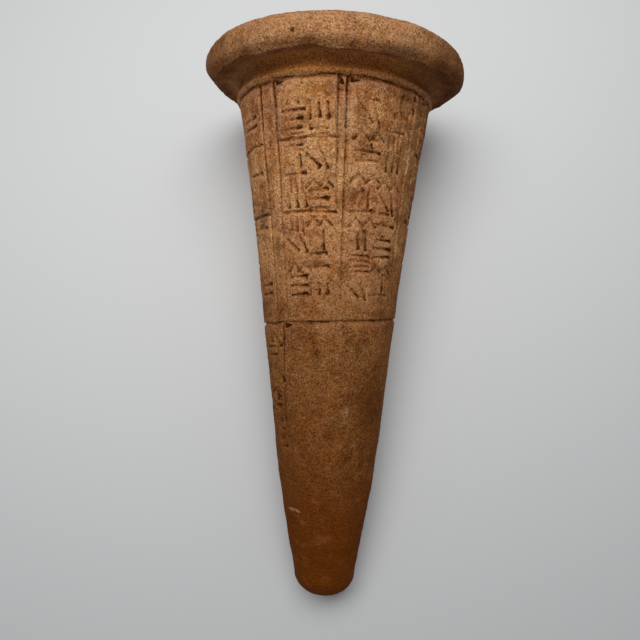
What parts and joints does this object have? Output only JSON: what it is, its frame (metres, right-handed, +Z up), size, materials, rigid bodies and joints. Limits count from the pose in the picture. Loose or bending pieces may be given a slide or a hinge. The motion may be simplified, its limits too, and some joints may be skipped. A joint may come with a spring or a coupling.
{
  "type": "foundation cone",
  "caption": "Solid hand-formed peg of fired clay with a mushroom head and ruled bands of stylus strokes, lying on its side.",
  "frame": {"origin": "under the middle of the cone's box, on the surface that it lies on", "axes": "+Y along the cone from the tip to the head, +Z up from the surface that it lies on, +X to the right seen from the tip"},
  "size_m": [0.0568, 0.1228, 0.0553],
  "materials": {
    "fired_clay": "matte, sandy, worn and dusty"
  },
  "bodies": {
    "root": {"cone": "fired_clay"}
  },
  "joints": []
}
